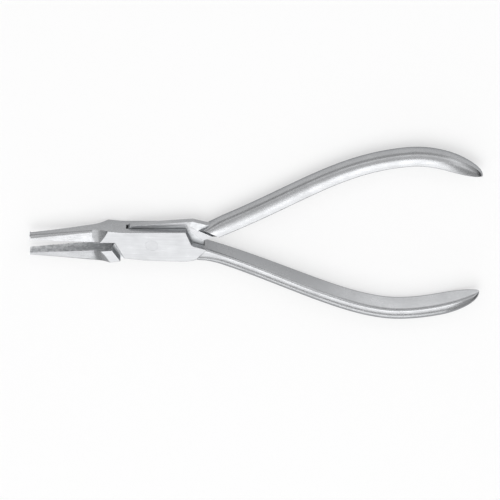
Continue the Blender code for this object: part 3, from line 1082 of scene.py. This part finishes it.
@dataclass
class TongueHalf(Forging):
    """Lower jaw, tongue and upper handle, drawn with the jaws closed.

    Attributes:
        tip_gap: Gap between the jaws' tips when they are closed.
        pin_play: Gap around the pin.
        low_rise: Height of the tongue's lower edge above the plates' lower edge.
        face_drop: How far the tongue stays below the gripping face.
        root: How far the tongue runs into the jaw, and below its face there.
        heel_rise: Height of the tongue's lower corner in the jaw above the shoulder's.
        foot_drop: How far the tongue covers the plates' foot, in front and below.
        belly_x: Where the lower edge turns straight.
        round_end: Where the tongue's round back ends.
        neck: The corners from there around the handle's root to the upper edge.
        pad: The polished strip beside the handle and along the top of the tongue.
        ramp_sink: How far the ramps cut into the tongue's sides.
    """

    rim: float = 0.2
    tip_gap: float = 0.05
    peak_radius: float = 6.0
    shoulder_radius: float = 0.3
    pin_play: float = 0.1
    low_rise: float = 0.2
    face_drop: float = 0.3
    root: tuple[float, float] = (2.4, 1.0)
    heel_rise: float = 0.5
    shoulder_drop: float = 0.1
    foot_drop: tuple[float, float] = (0.3, 0.45)
    belly_x: float = -1.0
    round_end: float = radians(-5.5)
    neck: tuple[Corner, ...] = (
        Corner(17.5, -0.65), Corner(19.0, 1.0), Corner(20.5, 2.8), Corner(18.5, 3.3),
        Corner(16.2, 3.75, 2.5), Corner(12.6, 5.3, 0.8), Corner(11.0, 5.37))
    pad: tuple[Corner, ...] = (
        Corner(11.0, 2.87), Corner(14.2, -1.4), Corner(14.9, -1.4), Corner(17.5, -0.62),
        Corner(14.3, 1.15), Corner(12.9, 2.75), Corner(11.6, 3.7), Corner(11.8, 5.2),
        Corner(-5.4, 5.85), Corner(-5.1, 4.9), Corner(10.3, 4.4))
    ramp_top: tuple[float, float] = (11.5, 3.4)
    ramp_foot: tuple[float, float] = (17.6, -0.75)
    ramp_radius: float = 4.5
    ramp_slope: float = radians(25)
    ramp_sink: float = 0.05

    def shoulder(self) -> tuple[Vector, Vector]:
        """The jaw's edge beside the box, at the gripping face and below."""
        joint, jaw = self.joint, self.jaw
        # The edge runs beside the slanted front of the plates, a gap away from them
        top = Vector((-jaw.face_end, jaw.face_level + self.tip_gap))
        bottom = Vector((-joint.plate_foot[0], -joint.plate_foot[1]))
        edge = (bottom - top).normalized()
        start = top + Vector((edge.y, -edge.x)) * joint.shoulder_gap
        level = self.face_line(-jaw.face_end - joint.shoulder_gap)
        upper = start + edge * ((level - start.y) / edge.y)
        lower = start + edge * ((-joint.top - start.y) / edge.y)
        return upper, lower

    def jaw_outline(self) -> list[Corner]:
        """The lower jaw with its shoulder."""
        jaw = self.jaw
        upper, lower = self.shoulder()
        return [
            Corner(-jaw.reach, jaw.face_level),
            Corner(-jaw.reach, jaw.face_level - jaw.tip_height, jaw.edge),
            Corner(-jaw.peak[0], -jaw.peak[1], self.peak_radius),
            Corner(lower.x, lower.y, self.shoulder_radius),
            Corner(upper.x, upper.y),
        ]

    def tongue_outline(self) -> list[Corner]:
        """The flat tongue through the slot."""
        joint = self.joint
        low_y = -joint.low + self.low_rise
        # Along X the clearance is wider than square to the slanted end of the slot
        slant = joint.turn_clearance * hypot(
            joint.slot_foot - joint.slot_start, joint.top) / joint.top
        face = self.face_line(-joint.slot_foot) - self.face_drop
        root = -joint.slot_foot - self.root[0]
        foot = atan2(low_y, sqrt(joint.tongue_radius ** 2 - low_y ** 2))
        return [
            Corner(joint.slot_end(joint.tongue_top) + slant, joint.tongue_top),
            Corner(joint.slot_end(face) + slant, face),
            Corner(root, face - self.root[1]),
            Corner(root, -joint.top + self.heel_rise),
            Corner(self.shoulder()[1].x, -joint.top - self.shoulder_drop),
            Corner(-joint.plate_foot[0] - self.foot_drop[0],
                   -joint.plate_foot[1] - self.foot_drop[1]),
            Corner(self.belly_x, low_y),
            *arc(joint.tongue_radius, foot, self.round_end),
            *self.neck,
        ]

    def grind_ramps(self, handle: bpy.types.Object) -> None:
        """Grinds the root of the handle down to the tongue, in a ramp on each side.

        Args:
            handle: The handle before it is joined to the tongue.
        """
        floor = self.joint.tongue_half_depth - self.ramp_sink
        top, foot = Vector((*self.ramp_top, 0)), Vector((*self.ramp_foot, 0))
        along = (foot - top).normalized()
        forward = Vector((-along.y, along.x, 0))
        height = self.handle.neck_depth / 2 - floor + OVERRUN
        # The ramp leaves the tongue at its slope and curves up out of the handle's side
        first, radius = self.ramp_slope, self.ramp_radius
        last = acos(cos(first) - height / radius)
        tangent = radius * tan((last - first) / 2)
        back, crown = -self.joint.crotch, floor + height
        profile = [
            Corner(back, floor),
            Corner(0, floor),
            Corner(tangent * cos(first), floor + tangent * sin(first), radius * SNUG),
            Corner(radius * (sin(last) - sin(first)), crown),
            Corner(back, crown),
        ]
        reach = self.joint.depth
        for side in (1, -1):
            bm = bmesh.new()
            face = flat_outline(bm, profile)
            raise_faces(bm, [face], Vector((0, 0, (foot - top).length + 2 * reach)))
            axes = Matrix((forward, Vector((0, 0, side)), along)).transposed().to_4x4()
            start = top - along * reach + Vector((0, 0, self.joint.middle))
            bmesh.ops.transform(
                bm, matrix=Matrix.Translation(start) @ axes, verts=bm.verts)
            combine(handle, solid("ramp", bm), Cut.REMOVE)

    def build(self, steels: dict[Finish, bpy.types.Material]) -> bpy.types.Object:
        """Builds the half as one piece, at its place at rest.

        Args:
            steels: The materials by their finish.

        Returns:
            The finished piece, which stands for the frame's solid.
        """
        joint, jaw = self.joint, self.jaw
        half = prism("tongue_forging", self.jaw_outline(), 0, joint.depth, self.rim)
        self.grind_jaw_sides(half)
        self.crown_jaw(half)
        low = joint.middle - joint.tongue_half_depth
        high = joint.middle + joint.tongue_half_depth
        combine(half, prism("tongue", self.tongue_outline(), low, high), Cut.JOIN)
        thick = self.pad_half_depth
        combine(half, prism(
            "pad", self.pad, joint.middle - thick, joint.middle + thick), Cut.JOIN)
        handle = self.handle.build("upper_handle", joint.middle)
        self.grind_ramps(handle)
        combine(half, handle, Cut.JOIN)
        self.bore(half, self.pin_play)
        length = (jaw.reach + self.shoulder()[0].x) / cos(jaw.slope)
        self.cut_diamonds(half, length)
        self.finish(half, steels, joint.open_at_rest)
        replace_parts(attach(half, Body.TONGUE.value), "tongue_half")
        return half


@dataclass
class JointPin:
    """The rivet through box and tongue, ground flush on both sides.

    Attributes:
        edge: Radius of its two rims.
        edge_facets: Number of facets of that rounding.
        sharp: Least angle between two faces whose edge stays sharp in the shading.
    """

    joint: Joint
    edge: float = 0.02
    edge_facets: int = 2
    sharp: float = radians(20)

    def build(self, steel: bpy.types.Material) -> bpy.types.Object:
        """Builds the pin.

        Args:
            steel: Its material.

        Returns:
            The finished pin, which stands for the frame's solid.
        """
        bm = rod(self.joint.pin_radius, 0, self.joint.depth)
        break_rims(bm, self.edge, self.edge_facets)
        pin = solid("flush_pin", bm)
        pin.data.transform(Matrix.Scale(MM, 4))
        pin.data.shade_smooth()
        pin.data.set_sharp_from_angle(angle=self.sharp)
        pin.data.materials.append(steel)
        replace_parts(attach(pin, Body.BOX.value), "joint_pin")
        return pin


@dataclass(frozen=True)
class Softbox:
    """A large soft lamp, placed by its direction as seen from the pliers.

    Attributes:
        name: Name of the lamp.
        over: Its angle from +Y, over the zenith, towards -Y.
        aside: How far it is turned from there towards +X.
        width: Size along X, in metres.
        height: Size across, in metres.
        radiance: Brightness of its face, where 1 shows as white.
        distance: How far away it stands, in metres.
    """

    name: str
    over: float
    aside: float
    width: float
    height: float
    radiance: float
    distance: float = 1.0

    def build(self, target: Vector) -> None:
        """Adds the lamp, aimed at a target.

        Args:
            target: The point that it lights.
        """
        lamp = bpy.data.lights.new(self.name, "AREA")
        lamp.shape = "RECTANGLE"
        lamp.size = self.width
        lamp.size_y = self.height
        lamp.energy = self.radiance * pi * self.width * self.height
        obj = bpy.data.objects.new(self.name, lamp)
        away = Vector((
            sin(self.aside), cos(self.over) * cos(self.aside),
            sin(self.over) * cos(self.aside)))
        across = (Vector((1, 0, 0)) - away * away.x).normalized()
        turned = Matrix((across, away.cross(across), away)).transposed().to_4x4()
        obj.matrix_world = Matrix.Translation(target + away * self.distance) @ turned
        bpy.context.scene.collection.objects.link(obj)


@dataclass
class Studio:
    """Pale floor, soft lamps and the camera.

    Attributes:
        floor_level: Height of the floor, in millimetres.
        floor_half_size: Half the size of the floor, in metres.
        floor_white: How much of the floor is seen as plain white.
        tilt: How far the camera leans from straight above, towards +Y.
        distance: How far away it is, in metres.
        field: Width that the picture shows at the pliers, in metres.
        sensor: Width of the camera's sensor, in millimetres.
        pivot: The middle of the joint, in metres.
        shift: How far right of it and below it the camera looks, in metres.
    """

    floor_level: float = -0.5
    floor_half_size: float = 3.0
    floor_colour: str = "FAFAFA"
    floor_white: float = 0.5
    world_strength: float = 0.04
    tilt: float = radians(35)
    distance: float = 1.2
    field: float = 0.1441
    sensor: float = 36.0
    clip: tuple[float, float] = (0.05, 20.0)
    pivot: tuple[float, float, float] = (0, 0, 0.0031)
    shift: tuple[float, float] = (0.02824, 0.003026)
    lamps: tuple[Softbox, ...] = (
        Softbox("overhead_softbox", radians(93.5), 0.0, 0.62, 0.52, 2.6),
        Softbox("plate_softbox", radians(122.5), 0.0, 0.62, 0.52, 2.0),
        Softbox("left_softbox", radians(108), radians(-30), 0.38, 1.11, 1.15),
        Softbox("left_panel", radians(110), radians(-54), 0.36, 1.2, 0.5),
        Softbox("right_panel", radians(108), radians(36), 0.6, 1.2, 0.45),
        Softbox("right_back_panel", radians(50), radians(52), 0.7, 1.2, 0.55),
        Softbox("front_panel", radians(55), 0.0, 2.1, 0.85, 0.78),
        Softbox("back_panel", radians(18), 0.0, 2.4, 1.05, 0.52),
        Softbox("near_panel", radians(160), 0.0, 1.6, 0.8, 0.42),
        Softbox("near_strip", radians(165), 0.0, 0.46, 0.34, 1.6, 0.95),
    )

    def camera(self) -> Vector:
        """Places the camera at the photographed angle.

        Returns:
            The point that it looks at.
        """
        right = Vector((1, 0, 0))
        up = Vector((0, cos(self.tilt), -sin(self.tilt)))
        back = Vector((0, sin(self.tilt), cos(self.tilt)))
        target = Vector(self.pivot) + right * self.shift[0] - up * self.shift[1]
        data = bpy.data.cameras.new("camera")
        data.sensor_width = self.sensor
        data.lens = data.sensor_width * self.distance / self.field
        data.clip_start, data.clip_end = self.clip
        camera = bpy.data.objects.new("camera", data)
        turned = Matrix((right, up, back)).transposed().to_4x4()
        camera.matrix_world = Matrix.Translation(target + back * self.distance) @ turned
        bpy.context.scene.collection.objects.link(camera)
        bpy.context.scene.camera = camera
        return target

    def floor(self) -> None:
        """Lays a plain pale floor just under the handles."""
        bm = bmesh.new()
        bmesh.ops.create_grid(bm, x_segments=1, y_segments=1, size=self.floor_half_size)
        bmesh.ops.translate(bm, verts=bm.verts, vec=(0, 0, self.floor_level * MM))
        mesh = bpy.data.meshes.new("floor")
        bm.to_mesh(mesh)
        bm.free()
        floor = bpy.data.objects.new("floor", mesh)
        bpy.context.scene.collection.objects.link(floor)
        # Matt white board: even and without gloss; the eye and the steel see it partly
        # as plain white, which keeps the shadow on it light
        material, tree, shader = new_material("matt_board")
        shader.inputs["Base Color"].default_value = linear(self.floor_colour)
        shader.inputs["Roughness"].default_value = 1.0
        shader.inputs["Specular IOR Level"].default_value = 0.0
        path = add_node(tree, "ShaderNodeLightPath")
        seen = add_node(tree, "ShaderNodeMath", {"operation": "ADD"}, {
            0: path.outputs["Is Camera Ray"], 1: path.outputs["Is Glossy Ray"]})
        seen = add_node(tree, "ShaderNodeMath", {"operation": "ADD", "use_clamp": True}, {
            0: seen.outputs[0], 1: path.outputs["Is Transmission Ray"]})
        share = add_node(tree, "ShaderNodeMath", {"operation": "MULTIPLY"}, {
            0: seen.outputs[0], 1: self.floor_white})
        white = add_node(tree, "ShaderNodeEmission", sockets={"Strength": 1.0})
        blend = add_node(tree, "ShaderNodeMixShader", sockets={
            0: share.outputs[0], 1: shader.outputs[0], 2: white.outputs[0]})
        tree.links.new(blend.outputs[0], tree.nodes["Material Output"].inputs["Surface"])
        mesh.materials.append(material)

    def world(self) -> None:
        """Fills the room with even light."""
        world = bpy.data.worlds.new("room")
        world.use_nodes = True
        shader = world.node_tree.nodes["Background"]
        shader.inputs["Color"].default_value = (1, 1, 1, 1)
        shader.inputs["Strength"].default_value = self.world_strength
        bpy.context.scene.world = world

    def build(self) -> None:
        """Builds the whole studio."""
        target = self.camera()
        self.floor()
        self.world()
        for lamp in self.lamps:
            lamp.build(target)
        bpy.context.scene.view_settings.view_transform = "Standard"


JOINT = Joint()
UPPER_JAW = Jaw(reach=35.2, peak=(12.4, 4.95), cove_end=14.5, rise=1)
# The lower jaw's face is relieved by its slope, so that the closed jaws meet at their tips
FACE_RELIEF = radians(2.6)
LOWER_OVERHANG = 0.2
LOWER_JAW = Jaw(
    reach=UPPER_JAW.reach + LOWER_OVERHANG, peak=(17.0, 4.6), cove_end=15.2, rise=-1,
    slope=-FACE_RELIEF,
    face_level=UPPER_JAW.face_level - TongueHalf.tip_gap + LOWER_OVERHANG * tan(FACE_RELIEF),
    crown=0.45)
LOWER_HANDLE = Handle(
    start=(13.0, 0.7), slope=radians(17.5), leaving=22.2, arriving=15.3, crest=(71.4, 22.5),
    tip=(94.8, 18.2), end_bend=1.9, neck=5.1, palm_depth=7.0, palm_thickness=4.85, side=-1,
    edge=0.85, settling=(1.2, 5.0))
UPPER_HANDLE = Handle(
    start=(13.2, -1.85), slope=radians(17.6), leaving=31.7, arriving=20.7,
    crest=(75.6, 18.25), tip=(96.5, 10.8), end_bend=3.5, neck=3.6, palm_depth=6.1,
    palm_thickness=4.3, side=1)


def main() -> None:
    """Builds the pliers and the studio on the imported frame."""
    logging.basicConfig(level=logging.INFO, format="%(message)s")
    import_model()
    steels = {
        Finish.FORGING: SATIN_FORGING.material(),
        Finish.FLAT: GROUND_FLAT.material(),
        Finish.DIAMOND: DIAMOND_CUT_PAINTED_SHADE_AND_GLINT.material(),
        Finish.BELT: BELT_PAINTED_LIGHT_AND_SHADE.material(),
        Finish.RECESS: MILLED_RECESS_PAINTED_LIGHT.material(),
    }
    pieces = [
        BoxHalf(JOINT, UPPER_JAW, LOWER_HANDLE).build(steels),
        TongueHalf(JOINT, LOWER_JAW, UPPER_HANDLE).build(steels),
        JointPin(JOINT).build(PIN_BAR.material()),
    ]
    for piece in pieces:
        log.info("%s: %d faces", piece.name, len(piece.data.polygons))
    Studio().build()


if __name__ == "__main__":
    main()
